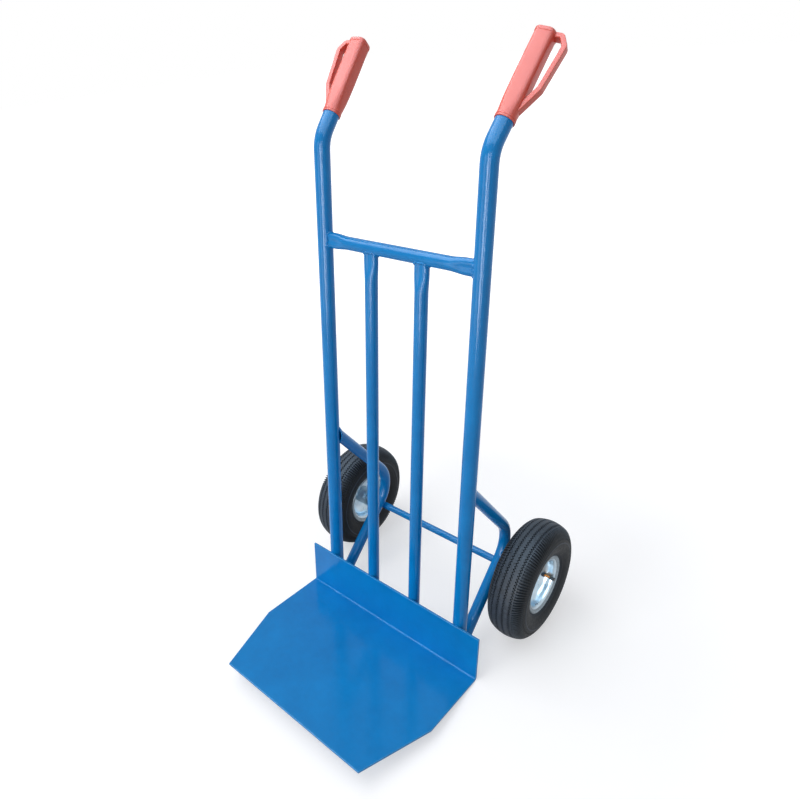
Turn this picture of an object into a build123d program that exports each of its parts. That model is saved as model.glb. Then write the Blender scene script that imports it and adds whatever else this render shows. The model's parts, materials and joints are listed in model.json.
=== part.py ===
from build123d import *
import math
import os

# Two-wheeled sack truck: welded tube frame, folded toe plate, pneumatic wheels on a fixed axle.
# Millimetres. The pieces are drawn square to the toe plate: the flange's front face is Y = 0,
# the plate's underside is Z = 0, the truck faces -Y, and +X is to the right as seen from its front.
# At the end the truck is leaned back onto its heel and both tyres, the way it stands by itself.

# Toe plate, folded from one sheet
plate_thickness = 4.0
plate_width = 470.0
plate_front_width = 370.0
plate_depth = 300.0
plate_side_depth = 151.0
flange_height = 110.0
fold_inside_radius = 3.0

# Uprights and their handle bends
upright_diameter = 30.0
upright_wall = 2.0
upright_spacing = 354.0
tube_end_height = 12.0
handle_bend_height = 1025.0
handle_bend_radius = 60.0
handle_angle = 36.9
handle_splay = 5.5
handle_length = 192.0

# Crossbar and inner bars, with their ends pressed flat for welding
bar_diameter = 25.0
bar_wall = 1.5
crossbar_height = 846.0
inner_bar_spacing = 116.0
pressed_end_width = 31.5
pressed_end_thickness = 17.0
pressed_end_length = 16.0
pressed_taper_length = 32.0

# Axle struts, each one bent tube behind an upright
strut_diameter = 25.0
strut_wall = 2.0
strut_spacing = 344.0
strut_top_height = 431.0
strut_foot_height = 6.0
strut_bend_back = 213.5
strut_bend_height = 220.5
strut_bend_radius = 70.0
strut_end_bite = 4.0

# Axle and what holds the wheels on it
axle_diameter = 16.0
axle_below_bend = 6.0
axle_saddle_depth = 3.0
axle_end_length = 5.0
axle_end_chamfer = 1.0
collar_diameter = 26.0
washer_diameter = 30.0
washer_thickness = 2.5
pin_diameter = 3.2
pin_overhang = 6.0

# Wheels
wheel_diameter = 260.0
wheel_spacing = 496.0
tyre_width = 85.0
tyre_wall = 6.0
tyre_bands = 4
tread_half_width = 28.0
tread_drop = 6.0
tread_thickness = 11.0
widest_radius = 93.0
cavity_crown_half_width = 24.0
inner_tube_wall = 2.0
rim_lip_radius = 64.5
rim_lip_half_width = 32.0
rim_seat_radius = 51.0
rim_well_half_width = 13.0
rim_web_radius = 40.0
rim_sheet = 2.0
bead_width = 11.0
hub_inner_reach = 51.0
hub_outer_reach = 5.0
hub_diameter = 42.0
bearing_diameter = 35.0
bearing_width = 11.0
rim_bolt_count = 4
rim_bolt_circle = 62.0
rim_bolt_diameter = 6.0
rim_bolt_head = 10.0
rim_bolt_head_height = 4.0
rim_nut_height = 5.0
rim_bolt_turn = 17.0
valve_turn = -19.0
valve_circle_radius = 45.5
valve_grommet_diameter = 10.0
valve_grommet_reach = 12.0
valve_stem_diameter = 5.5
valve_bend_radius = 4.0
valve_reach = 34.0
valve_cap_diameter = 8.0
valve_cap_length = 10.0
valve_cap_wall = 1.5

# Grips with knuckle guards
grip_length = 150.0
grip_across = 32.0
grip_corner_radius = 6.5
grip_collar_diameter = 34.0
grip_collar_length = 7.0
grip_flare_length = 14.0
grip_flare_angle = 16.0
grip_flange_overhang = 0.8
grip_cap_length = 6.0
right_guard_turn = 14.0
left_guard_turn = -8.0
guard_thickness = 7.0
guard_width = 13.0
guard_foot_height = 19.5
guard_low_reach = 30.0
guard_low_height = 59.5
guard_high_reach = 37.0
guard_high_height = 131.5
guard_arm_reach = 27.0
guard_low_radius = 10.0
guard_high_radius = 5.0

# Clearances
running_clearance = 0.05
slip_clearance = 0.1
end_clearance = 0.3

# Places that follow from the sizes above
upright_x = upright_spacing / 2
upright_y = plate_thickness + upright_diameter / 2
inner_bar_y = plate_thickness + bar_diameter / 2
upright_back = upright_y + upright_diameter / 2
strut_x = strut_spacing / 2
wheel_x = wheel_spacing / 2
wheel_radius = wheel_diameter / 2
axle_radius = axle_diameter / 2
handle_corner = Vector(upright_x, upright_y, handle_bend_height)
handle_direction = Vector(
    math.sin(math.radians(handle_angle)) * math.sin(math.radians(handle_splay)),
    math.sin(math.radians(handle_angle)) * math.cos(math.radians(handle_splay)),
    math.cos(math.radians(handle_angle)),
)
grip_start = handle_length - (grip_length - grip_cap_length)

# The strut's side view: two legs that meet in a round bend behind the axle
strut_top = Vector(strut_x, upright_y, strut_top_height)
strut_corner = Vector(strut_x, strut_bend_back, strut_bend_height)
strut_foot = Vector(strut_x, upright_y, strut_foot_height)
leg_up = (strut_corner - strut_foot).normalized()
leg_back = Vector(0, leg_up.Z, -leg_up.Y)
strut_turn = math.radians((strut_corner - strut_top).get_angle(strut_foot - strut_corner))
bend_tangent = strut_bend_radius * math.tan(strut_turn / 2)

# The axle lies in a saddle behind both lower legs, just below the bend
axle_seat = (strut_diameter + axle_diameter) / 2 - axle_saddle_depth
axle_centre = strut_corner - leg_up * (bend_tangent + axle_below_bend) + leg_back * axle_seat
axle_y = axle_centre.Y
axle_z = axle_centre.Z
hub_inner_x = wheel_x - hub_inner_reach
hub_outer_x = wheel_x + hub_outer_reach
strut_outer_x = strut_x + strut_diameter / 2
inner_washer_x = hub_inner_x - end_clearance - washer_thickness
outer_washer_x = hub_outer_x + end_clearance
pin_x = outer_washer_x + washer_thickness + end_clearance + pin_diameter / 2
axle_half_length = pin_x + axle_end_length


def mirrored(shape):
    """The left-hand twin of a right-hand piece."""
    return mirror(shape, about=Plane.YZ)


def tube_along(path, diameter, wall):
    """A round tube swept along a path of straight runs and tangent arcs."""
    ring = Circle(diameter / 2) - Circle(diameter / 2 - wall)
    return sweep(Plane(origin=path @ 0, z_dir=path % 0) * ring, path=path)


def rod_x(radius, x_start, x_end):
    """A solid rod on the axle's line, between two places along X."""
    face = Plane(origin=(x_start, axle_y, axle_z), z_dir=(1, 0, 0)) * Circle(radius)
    return extrude(face, amount=x_end - x_start)


def ring_x(outer_radius, inner_radius, x_start, x_end):
    """A plain ring on the axle's line."""
    return rod_x(outer_radius, x_start, x_end) - rod_x(inner_radius, x_start, x_end)


def upright_envelope():
    """The straight stretch of the right upright as a solid rod, for saddle cuts."""
    face = Plane(origin=(upright_x, upright_y, 0)) * Circle(upright_diameter / 2)
    return extrude(face, amount=handle_bend_height - handle_bend_radius)


def upright():
    """Right upright: straight up from behind the flange, then bent back and a little outwards."""
    foot = (upright_x, upright_y, tube_end_height)
    tip = handle_corner + handle_direction * handle_length
    path = FilletPolyline(foot, handle_corner, tip, radius=handle_bend_radius)
    return tube_along(path, upright_diameter, upright_wall)


def pressed_bar(length, diameter, width, thickness):
    """Half of a bar along +Z from its middle, its far end pressed to a flat oval."""
    straight_end = length - pressed_end_length - pressed_taper_length
    straight = extrude(Circle(diameter / 2), amount=straight_end)
    oval = Ellipse(width / 2, thickness / 2)
    taper = loft([Pos(0, 0, straight_end) * Circle(diameter / 2),
                  Pos(0, 0, straight_end + pressed_taper_length) * oval])
    flat = extrude(Pos(0, 0, length - pressed_end_length) * oval, amount=pressed_end_length)
    return straight + taper + flat


def pressed_tube(length):
    """The same half bar as a tube."""
    outside = pressed_bar(length, bar_diameter, pressed_end_width, pressed_end_thickness)
    inside = pressed_bar(length, bar_diameter - 2 * bar_wall, pressed_end_width - 2 * bar_wall,
                         pressed_end_thickness - 2 * bar_wall)
    return outside - inside


def crossbar():
    """Upper crossbar, its pressed ends saddled to both uprights."""
    middle = Plane(origin=(0, upright_y, crossbar_height), x_dir=(0, 0, 1), z_dir=(1, 0, 0))
    right_half = middle * pressed_tube(upright_x) - upright_envelope()
    return right_half + mirrored(right_half)


def inner_bar():
    """Right inner bar: from behind the flange up to the crossbar, its top end pressed flat."""
    foot = Plane(origin=(inner_bar_spacing / 2, inner_bar_y, tube_end_height), x_dir=(1, 0, 0))
    bar = foot * pressed_tube(crossbar_height - tube_end_height)
    crossbar_line = Plane(origin=(0, upright_y, crossbar_height), z_dir=(1, 0, 0))
    return bar - extrude(crossbar_line * Circle(bar_diameter / 2), amount=upright_x)


def toe_plate():
    """Toe plate and flange in one folded sheet, with the front corners cut off."""
    fold = Polyline((-plate_depth, 0), (plate_thickness, 0), (plate_thickness, flange_height),
                    (0, flange_height), (0, plate_thickness), (-plate_depth, plate_thickness), close=True)
    side = Plane(origin=(-plate_width / 2, 0, 0), x_dir=(0, 1, 0), z_dir=(1, 0, 0))
    sheet = extrude(side * make_face(fold), amount=plate_width)
    lengthwise = sheet.edges().filter_by(Axis.X)
    inside_fold = lengthwise.sort_by_distance((0, 0, plate_thickness))[0]
    sheet = fillet(inside_fold, fold_inside_radius)
    outside_fold = sheet.edges().filter_by(Axis.X).sort_by_distance((0, plate_thickness, 0))[0]
    sheet = fillet(outside_fold, fold_inside_radius + plate_thickness)
    corner = Polyline((plate_width / 2, -plate_side_depth), (plate_width / 2, -plate_depth),
                      (plate_front_width / 2, -plate_depth), close=True)
    waste = extrude(make_face(corner), amount=plate_thickness)
    return sheet - waste - mirrored(waste)


def axle_strut():
    """Right axle strut: one tube bent behind the axle, both ends welded to the upright's back."""
    path = FilletPolyline(strut_top, strut_corner, strut_foot, radius=strut_bend_radius)
    tube = tube_along(path, strut_diameter, strut_wall)
    bite_plane = Plane(origin=(0, upright_back - strut_end_bite, 0), z_dir=(0, 1, 0))
    tube = split(tube, bisect_by=bite_plane, keep=Keep.TOP)
    tube = split(tube, bisect_by=Plane.XY.offset(tube_end_height), keep=Keep.TOP)
    saddle = rod_x(axle_radius, strut_x - strut_diameter, strut_x + strut_diameter)
    return tube - upright_envelope() - saddle


def axle():
    """Fixed axle rod with chamfered ends, drilled across for a split pin at each end."""
    rod = rod_x(axle_radius, -axle_half_length, axle_half_length)
    rod = chamfer(rod.edges().filter_by(GeomType.CIRCLE), axle_end_chamfer)
    below_axle = Pos(pin_x, axle_y, axle_z - axle_diameter)
    hole = extrude(below_axle * Circle(pin_diameter / 2 + running_clearance), amount=2 * axle_diameter)
    return rod - hole - mirrored(hole)


def both_sides(shape):
    """A right-hand fastener and its left-hand twin as one group of separate solids."""
    return Compound([shape, mirrored(shape)])


def stop_collar():
    """Collar welded on the axle between the strut and the inner washer."""
    return ring_x(collar_diameter / 2, axle_radius, strut_outer_x, inner_washer_x)


def washer(x_start):
    """Plain washer, slipped over the axle."""
    return ring_x(washer_diameter / 2, axle_radius + slip_clearance, x_start, x_start + washer_thickness)


def split_pin():
    """Split pin through the axle, standing out at both ends."""
    low_end = Pos(pin_x, axle_y, axle_z - axle_radius - pin_overhang)
    return extrude(low_end * Circle(pin_diameter / 2), amount=axle_diameter + 2 * pin_overhang)


def bearings():
    """The two sealed ball bearings of the right wheel, fixed on the axle."""
    ends = [hub_inner_x, hub_outer_x - bearing_width]
    return [ring_x(bearing_diameter / 2, axle_radius + slip_clearance, x, x + bearing_width) for x in ends]


def turned(points):
    """A piece turned about the wheel's own axis, from an outline of (X, radius) points."""
    return revolve(make_face(Polyline(*points, close=True)), axis=Axis.X)


def mirrored_points(points):
    """The points of the other flank, in the order that carries an outline on round."""
    return [(-x, r) for x, r in reversed(points)]


bead_x = rim_lip_half_width - rim_sheet - end_clearance
bead_radius = rim_seat_radius + rim_sheet + end_clearance
cavity_flank = [
    (bead_x - bead_width, bead_radius),
    (bead_x - tyre_wall, rim_lip_radius),
    (tyre_width / 2 - tyre_wall, widest_radius),
    (cavity_crown_half_width, wheel_radius - tread_thickness),
]


def banded(arc):
    """Points along an arc of the tyre's outline, which divide it into a few straight bands."""
    spots = [arc @ (number / tyre_bands) for number in range(tyre_bands + 1)]
    return [(spot.X, spot.Y) for spot in spots]


def tyre():
    """Pneumatic tyre: round tread, bulging flanks, and two beads seated on the rim."""
    tread_edge = (tread_half_width, wheel_radius - tread_drop)
    lip = (rim_lip_half_width, rim_lip_radius + end_clearance)
    tread = banded(ThreePointArc((-tread_edge[0], tread_edge[1]), (0, wheel_radius), tread_edge))
    flank = banded(ThreePointArc(tread_edge, (tyre_width / 2, widest_radius), lip))
    side = flank[1:] + [(bead_x, lip[1]), (bead_x, bead_radius)] + cavity_flank
    return turned(tread + side + mirrored_points(side))


def inner_tube():
    """Inner tube blown up inside the tyre, with the hole that its valve is bonded into."""
    gap = end_clearance
    base, _, widest, crown = cavity_flank
    flank = [(base[0] - gap, base[1]), (widest[0] - gap, widest[1]), (crown[0] - gap, crown[1] - gap)]
    section = make_face(Polyline(*flank, *mirrored_points(flank), close=True))
    tube = revolve(section - offset(section, -inner_tube_wall, kind=Kind.INTERSECTION), axis=Axis.X)
    return tube - Rot(X=valve_turn) * valve_root(valve_stem_diameter / 2 + slip_clearance)


def valve_root(radius):
    """A round rod through the wall of the inner tube, where the valve sits."""
    face = Plane(origin=(0, bead_radius - inner_tube_wall, 0), z_dir=(0, 1, 0)) * Circle(radius)
    return extrude(face, amount=3 * inner_tube_wall)


def sheet_outline(line, thickness):
    """The outline of a bent sheet from one of its faces, mitred at each bend."""
    far = []
    for index, (x, r) in enumerate(line):
        before = line[max(index - 1, 0)]
        after = line[min(index + 1, len(line) - 1)]
        run_in = Vector(x - before[0], r - before[1])
        run_out = Vector(after[0] - x, after[1] - r)
        run_in = run_in if run_in.length > 0 else run_out
        run_out = run_out if run_out.length > 0 else run_in
        normal_in = Vector(-run_in.Y, run_in.X).normalized()
        normal_out = Vector(-run_out.Y, run_out.X).normalized()
        mitre = (normal_in + normal_out).normalized()
        reach = thickness / mitre.dot(normal_in)
        far.append((x + mitre.X * reach, r + mitre.Y * reach))
    return line + list(reversed(far))


def rim_half():
    """Outer rim half: flat web on the middle plane, dish, bead seat and turned-up lip."""
    line = [
        (rim_sheet, hub_diameter / 2),
        (rim_sheet, rim_web_radius),
        (rim_well_half_width, rim_seat_radius),
        (rim_lip_half_width, rim_seat_radius),
        (rim_lip_half_width, rim_lip_radius),
    ]
    return turned(sheet_outline(line, rim_sheet))


def around(shape, count, start):
    """Copies of a piece set round the wheel's axis."""
    return [Rot(X=start + 360 / count * index) * shape for index in range(count)]


def on_web(x, radius, profile, length):
    """A prism parallel to the axle, standing on the web at a radius from the wheel's centre."""
    return extrude(Plane(origin=(x, radius, 0), z_dir=(1, 0, 0)) * profile, amount=length)


def drilled_rim_half(with_valve):
    """A rim half with its bolt holes, and on the outer half the valve hole."""
    bolt_hole = Circle(rim_bolt_diameter / 2 + slip_clearance)
    hole = on_web(-rim_sheet, rim_bolt_circle / 2, bolt_hole, 3 * rim_sheet)
    half = rim_half() - around(hole, rim_bolt_count, rim_bolt_turn)
    if with_valve:
        grommet_hole = Circle(valve_grommet_diameter / 2)
        half -= Rot(X=valve_turn) * on_web(0, valve_circle_radius, grommet_hole, rim_well_half_width)
    return half


def hub():
    """Hub tube welded between the rim webs, bored at both ends for the bearings."""
    bore = bearing_diameter / 2 + running_clearance
    shoulder = bore - rim_sheet
    inner = -hub_inner_reach
    outer = hub_outer_reach
    outline = [(inner, bore), (inner, hub_diameter / 2), (outer, hub_diameter / 2), (outer, bore),
               (outer - bearing_width, bore), (outer - bearing_width, shoulder),
               (inner + bearing_width, shoulder), (inner + bearing_width, bore)]
    return turned(outline)


def rim_bolts():
    """Bolts that clamp the two rim halves together, heads outside."""
    radius = rim_bolt_circle / 2
    head = on_web(rim_sheet, radius, RegularPolygon(rim_bolt_head / 2, 6), rim_bolt_head_height)
    shank_length = 2 * rim_sheet + rim_nut_height + slip_clearance
    shank = on_web(rim_sheet - shank_length, radius, Circle(rim_bolt_diameter / 2), shank_length)
    return around(head + shank, rim_bolt_count, rim_bolt_turn)


def rim_nuts():
    """Nuts on the inner side of the rim."""
    bore = Circle(rim_bolt_diameter / 2 + running_clearance)
    profile = RegularPolygon(rim_bolt_head / 2, 6) - bore
    nut = on_web(-rim_sheet - rim_nut_height, rim_bolt_circle / 2, profile, rim_nut_height)
    return around(nut, rim_bolt_count, rim_bolt_turn)


def valve_stem():
    """Bent tyre valve: down from the inner tube into the well, then out through the dish."""
    root = (0, bead_radius + inner_tube_wall, 0)
    elbow = (0, valve_circle_radius, 0)
    tip = (valve_reach, valve_circle_radius, 0)
    path = FilletPolyline(root, elbow, tip, radius=valve_bend_radius)
    stem = sweep(Plane(origin=path @ 0, z_dir=path % 0) * Circle(valve_stem_diameter / 2), path=path)
    return Rot(X=valve_turn) * stem


def valve_grommet():
    """Rubber grommet that seals the valve in the dish."""
    bore = Circle(valve_stem_diameter / 2 + slip_clearance)
    profile = Circle(valve_grommet_diameter / 2 - slip_clearance) - bore
    start = valve_bend_radius
    return Rot(X=valve_turn) * on_web(start, valve_circle_radius, profile, valve_grommet_reach - start)


def valve_cap():
    """Dust cap screwed on the valve."""
    start = valve_reach - valve_cap_length
    bore = Circle(valve_stem_diameter / 2 + slip_clearance)
    length = valve_cap_length + valve_cap_wall
    outside = on_web(start, valve_circle_radius, Circle(valve_cap_diameter / 2), length)
    return Rot(X=valve_turn) * (outside - on_web(start, valve_circle_radius, bore, valve_cap_length))


def grip_body():
    """Squared body of a grip along +Z, rounded off into its collar, with a flange at the top."""
    collar_face = Circle(grip_collar_diameter / 2)
    collar = extrude(collar_face, amount=grip_collar_length)
    square = RectangleRounded(grip_across, grip_across, grip_corner_radius)
    body = extrude(square, amount=grip_length)
    flare_start = Pos(0, 0, grip_collar_length)
    flare = extrude(flare_start * collar_face, amount=grip_flare_length, taper=-grip_flare_angle)
    around_flare = extrude(Circle(grip_across), amount=grip_collar_length + grip_flare_length) - flare
    flange = offset(square, grip_flange_overhang)
    cap = extrude(Pos(0, 0, grip_length - grip_cap_length) * flange, amount=grip_cap_length)
    return body - around_flare + collar + cap


def knuckle_guard():
    """Strap of a grip along +Z, out of its body near the collar and back in at the flange."""
    root = (grip_across - guard_thickness) / 2
    arm_height = grip_length - guard_thickness / 2
    line = FilletPolyline(
        (root, 0, guard_foot_height),
        (guard_low_reach, 0, guard_low_height),
        (guard_high_reach, 0, guard_high_height),
        (guard_arm_reach, 0, arm_height),
        (root, 0, arm_height),
        radius=[guard_low_radius, guard_high_radius, guard_high_radius],
    )
    strap = Plane(origin=line @ 0, x_dir=(0, 1, 0), z_dir=line % 0)
    return sweep(strap * Rectangle(guard_width, guard_thickness), path=line)


def grip(guard_turn):
    """Right grip: squared moulding over the tube's end, its knuckle guard turned back from straight out."""
    outboard = Vector(1, 0, 0) - handle_direction * handle_direction.X
    foot = handle_corner + handle_direction * grip_start
    seat = Plane(origin=foot, x_dir=outboard, z_dir=handle_direction)
    bore = extrude(Circle(upright_diameter / 2 + slip_clearance), amount=grip_length - grip_cap_length)
    return seat * (Rot(Z=guard_turn) * (grip_body() + knuckle_guard()) - bore)


wheel_place = Pos(wheel_x, axle_y, axle_z)


def wheel_pieces():
    """The pieces of the right wheel by name, in their place on the axle."""
    inner_half = mirror(drilled_rim_half(with_valve=False), about=Plane.YZ)
    pieces = {
        "tyre": tyre(),
        "inner_tube": inner_tube(),
        "outer_rim_half": drilled_rim_half(with_valve=True),
        "inner_rim_half": inner_half,
        "hub": hub(),
        "rim_bolts": Compound(rim_bolts()),
        "rim_nuts": Compound(rim_nuts()),
        "valve_stem": valve_stem(),
        "valve_grommet": valve_grommet(),
        "valve_cap": valve_cap(),
    }
    return {name: wheel_place * shape for name, shape in pieces.items()}


pieces = {
    "toe_plate": toe_plate(),
    "upper_crossbar": crossbar(),
    "axle": axle(),
    "axle_stop_collars": both_sides(stop_collar()),
    "inner_washers": both_sides(washer(inner_washer_x)),
    "outer_washers": both_sides(washer(outer_washer_x)),
    "split_pins": both_sides(split_pin()),
    "wheel_bearings": Compound(bearings() + [mirrored(ring) for ring in bearings()]),
}
paired = {"upright": upright(), "inner_bar": inner_bar(), "axle_strut": axle_strut()}
paired.update({"wheel_" + name: shape for name, shape in wheel_pieces().items()})
for name, shape in paired.items():
    pieces["right_" + name] = shape
    pieces["left_" + name] = mirrored(shape)
pieces["right_grip"] = grip(right_guard_turn)
pieces["left_grip"] = mirrored(grip(left_guard_turn))

# Lean back about X until the fold's heel and the tyres stand on one floor
heel_radius = fold_inside_radius + plate_thickness
heel_y = plate_thickness - heel_radius
rise = axle_z - heel_radius
run = axle_y - heel_y
lean = math.degrees(math.acos((wheel_radius - heel_radius) / math.hypot(rise, run)) - math.atan2(run, rise))
leaned = {name: Rot(X=-lean) * shape for name, shape in pieces.items()}

# The origin is the middle of the footprint, on the floor
box = Compound(list(leaned.values())).bounding_box()
stand = Pos(-box.center().X, -box.center().Y, -box.min.Z)
os.makedirs("parts", exist_ok=True)
for name, shape in leaned.items():
    export_step(stand * shape, "parts/" + name + ".step")

axle_stands = stand * Rot(X=-lean) * Pos(0, axle_y, axle_z)
print("lean back, degrees:", round(lean, 3))
print("axle line at:", axle_stands.position)
print("overall size:", box.size)
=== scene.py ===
import json
import math

import bmesh
import bpy
from mathutils import Matrix, Vector


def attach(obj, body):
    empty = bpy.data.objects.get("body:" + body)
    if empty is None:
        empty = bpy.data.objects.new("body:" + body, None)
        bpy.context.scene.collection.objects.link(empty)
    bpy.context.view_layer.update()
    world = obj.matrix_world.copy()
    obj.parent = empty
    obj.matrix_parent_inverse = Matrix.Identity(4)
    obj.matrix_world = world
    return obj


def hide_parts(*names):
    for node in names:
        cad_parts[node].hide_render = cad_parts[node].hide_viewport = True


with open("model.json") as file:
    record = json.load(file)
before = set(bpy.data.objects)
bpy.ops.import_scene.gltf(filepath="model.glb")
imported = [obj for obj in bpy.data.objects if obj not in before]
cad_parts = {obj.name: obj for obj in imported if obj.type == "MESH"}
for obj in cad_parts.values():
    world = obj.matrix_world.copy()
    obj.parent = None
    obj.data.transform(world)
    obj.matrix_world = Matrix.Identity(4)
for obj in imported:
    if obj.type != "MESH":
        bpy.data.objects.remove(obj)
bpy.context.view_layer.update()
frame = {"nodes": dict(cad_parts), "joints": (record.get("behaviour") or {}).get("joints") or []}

nodes = frame["nodes"]
mm = 0.001

# Toe plate: one 4 mm steel sheet, sawn off at the front corners and folded up into a flange.
# It is welded to the tubes and sprayed with them, in one coat of blue gloss enamel.
# The whole truck was drawn square to this plate, and stands leaned back on its heel and tyres.
lean = math.radians(7.998)
fold_corner = Vector((0, -16.194 * mm, -0.349 * mm))
stand = Matrix.Translation(fold_corner) @ Matrix.Rotation(-lean, 4, "X")


def linear(hex_colour):
    """An sRGB hex colour as a linear RGBA value."""
    shares = [int(hex_colour[i:i + 2], 16) / 255 for i in (1, 3, 5)]
    return [s / 12.92 if s <= 0.04045 else ((s + 0.055) / 1.055) ** 2.4 for s in shares] + [1]


def add_node(material, kind, inputs=(), **settings):
    """A shader node with its settings, and its inputs set to values or linked to other nodes' outputs."""
    tree = material.node_tree
    node = tree.nodes.new(kind)
    for name, value in settings.items():
        setattr(node, name, value)
    for name, value in dict(inputs).items():
        if isinstance(value, bpy.types.NodeSocket):
            tree.links.new(value, node.inputs[name])
        else:
            node.inputs[name].default_value = value
    return node


def new_material(name):
    """An empty node material and its surface socket."""
    material = bpy.data.materials.new(name)
    material.use_nodes = True
    material.node_tree.nodes.clear()
    output = add_node(material, "ShaderNodeOutputMaterial")
    return material, output.inputs["Surface"]


# Blue gloss enamel, sprayed wet over steel: it levels to a gloss with a faint orange peel,
# its coat is a little thicker here and there, and it rounds every cut edge, which carries a pale painted
# highlight.
# The dust in it is drawn coarser than it is, so that it shows.
blue_enamel, surface = new_material("blue_gloss_enamel_on_steel")
place = add_node(blue_enamel, "ShaderNodeTexCoord").outputs["Object"]
coat_cloud = add_node(blue_enamel, "ShaderNodeTexNoise", {
    "Vector": place, "Scale": 1 / (70 * mm), "Detail": 7, "Roughness": 0.75})
orange_peel = add_node(blue_enamel, "ShaderNodeTexNoise", {
    "Vector": place, "Scale": 1 / (3 * mm), "Detail": 2})
dust_nibs = add_node(blue_enamel, "ShaderNodeTexNoise", {
    "Vector": place, "Scale": 1 / (1.1 * mm), "Detail": 1})
coat_colour = add_node(blue_enamel, "ShaderNodeMix", {
    0: coat_cloud.outputs["Fac"], 6: linear("#0367A6"), 7: linear("#088BD1")}, data_type="RGBA")
coat_gloss = add_node(blue_enamel, "ShaderNodeMapRange", {
    "Value": dust_nibs.outputs["Fac"], "From Min": 0.3, "From Max": 0.7, "To Min": 0.13, "To Max": 0.2})
rounded_edges = add_node(blue_enamel, "ShaderNodeBevel", {"Radius": 2.4 * mm}, samples=6)
face_normal = add_node(blue_enamel, "ShaderNodeNewGeometry").outputs["Normal"]
edge_turn = add_node(blue_enamel, "ShaderNodeVectorMath", {
    0: rounded_edges.outputs["Normal"], 1: face_normal}, operation="DOT_PRODUCT")
# Towards every sharp edge the colour is mixed to pale blue: a painted highlight along the edges.
painted_edge_highlight = add_node(blue_enamel, "ShaderNodeMapRange", {
    "Value": edge_turn.outputs["Value"], "From Min": 0.98, "From Max": 0.8, "To Min": 0, "To Max": 0.8})
colour_with_painted_edge_highlight = add_node(blue_enamel, "ShaderNodeMix", {
    0: painted_edge_highlight.outputs["Result"], 6: coat_colour.outputs[2], 7: linear("#5FB4E4")}, data_type="RGBA")
peel_bump = add_node(blue_enamel, "ShaderNodeBump", {
    "Strength": 0.1, "Distance": 0.15 * mm, "Height": orange_peel.outputs["Fac"],
    "Normal": rounded_edges.outputs["Normal"]})
enamel_shader = add_node(blue_enamel, "ShaderNodeBsdfPrincipled", {
    "Base Color": colour_with_painted_edge_highlight.outputs[2], "Roughness": coat_gloss.outputs["Result"],
    "Normal": peel_bump.outputs["Normal"], "IOR": 1.48, "Specular IOR Level": 0.2})
blue_enamel.node_tree.links.new(enamel_shader.outputs["BSDF"], surface)

nodes["toe_plate"].material_slots[0].material = blue_enamel

# Bent tubes: two uprights with the handles bent back, a strut bent round behind each of them,
# and the stop collars on the axle. All are steel, welded and sprayed blue.
upright_x, upright_y, upright_r = 177, 19, 15
nodes["axle_stop_collars"].material_slots[0].material = blue_enamel
for side in ("right", "left"):
    for piece in ("upright", "axle_strut"):
        nodes[f"{side}_{piece}"].material_slots[0].material = blue_enamel

# Crossbar and inner bars: 25 mm steel tube, squeezed nearly flat in a press where it is welded on.
# The tube's wall keeps its length round, so the squeezed end grows wider as it gets thinner.
bar_r, bar_wall, bar_y = 12.5, 1.5, 16.5
pressed_half, press_dent = 8.2, 1.1
pressed_length, press_taper = 14, 34
taper_steps = 8
crossbar_z = 846
inner_bar_x = 58
tube_end, open_bore = 12, 60
bar_points = 48
crease_angle = math.radians(35)


def pressed_ring(half, dent, radius=bar_r):
    """A squeezed tube's outline as (thickness, width) pairs: two flats joined by half circles."""
    flat = math.pi * (radius - half) / 2
    quarter = math.pi * radius / 2
    ring = []
    for i in range(bar_points):
        walk = 4 * quarter * i / bar_points
        side, rest = divmod(walk, quarter)
        rest = quarter - rest if side in (1, 3) else rest
        if rest <= flat:
            thick, wide = half - dent * (1 - rest / flat) if flat else half, rest
        else:
            angle = (rest - flat) / half
            thick, wide = half * math.cos(angle), flat + half * math.sin(angle)
        ring.append((thick if side in (0, 3) else -thick, wide if side < 2 else -wide))
    return ring


def press_stations(length):
    """Distance from the bar's end, half thickness and dent of each ring, from its squeezed end inwards."""
    stations = [(0, pressed_half, press_dent), (pressed_length, pressed_half, press_dent)]
    for i in range(1, taper_steps + 1):
        share = i / taper_steps
        eased = share * share * (3 - 2 * share)
        half = pressed_half + (bar_r - pressed_half) * eased
        stations.append((pressed_length + press_taper * share, half, press_dent * (1 - share)))
    return stations + [(length, bar_r, 0)]


def skin(rings, looped, capped=False):
    """Points and faces over a row of rings with equally many points each."""
    size = len(rings[0])
    count = len(rings)
    points = [spot for ring in rings for spot in ring]
    faces = []
    for i in range(count if looped else count - 1):
        for j in range(size):
            near, far = i * size, (i + 1) % count * size
            faces.append((near + j, near + (j + 1) % size, far + (j + 1) % size, far + j))
    if capped:
        faces += [tuple(range(size))[::-1], tuple(range((count - 1) * size, count * size))]
    return points, faces


def new_piece(name, points, faces, material, body, slot):
    """A mesh piece in the row frame, smooth but for edges over the crease angle, riding on its body."""
    mesh = bpy.data.meshes.new(name)
    mesh.from_pydata(points, [], faces)
    work = bmesh.new()
    work.from_mesh(mesh)
    bmesh.ops.recalc_face_normals(work, faces=work.faces)
    work.to_mesh(mesh)
    work.free()
    mesh.shade_smooth()
    mesh.set_sharp_from_angle(angle=crease_angle)
    mesh.materials.append(material)
    piece = bpy.data.objects.new(name, mesh)
    bpy.context.scene.collection.objects.link(piece)
    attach(piece, body)
    return piece


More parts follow.
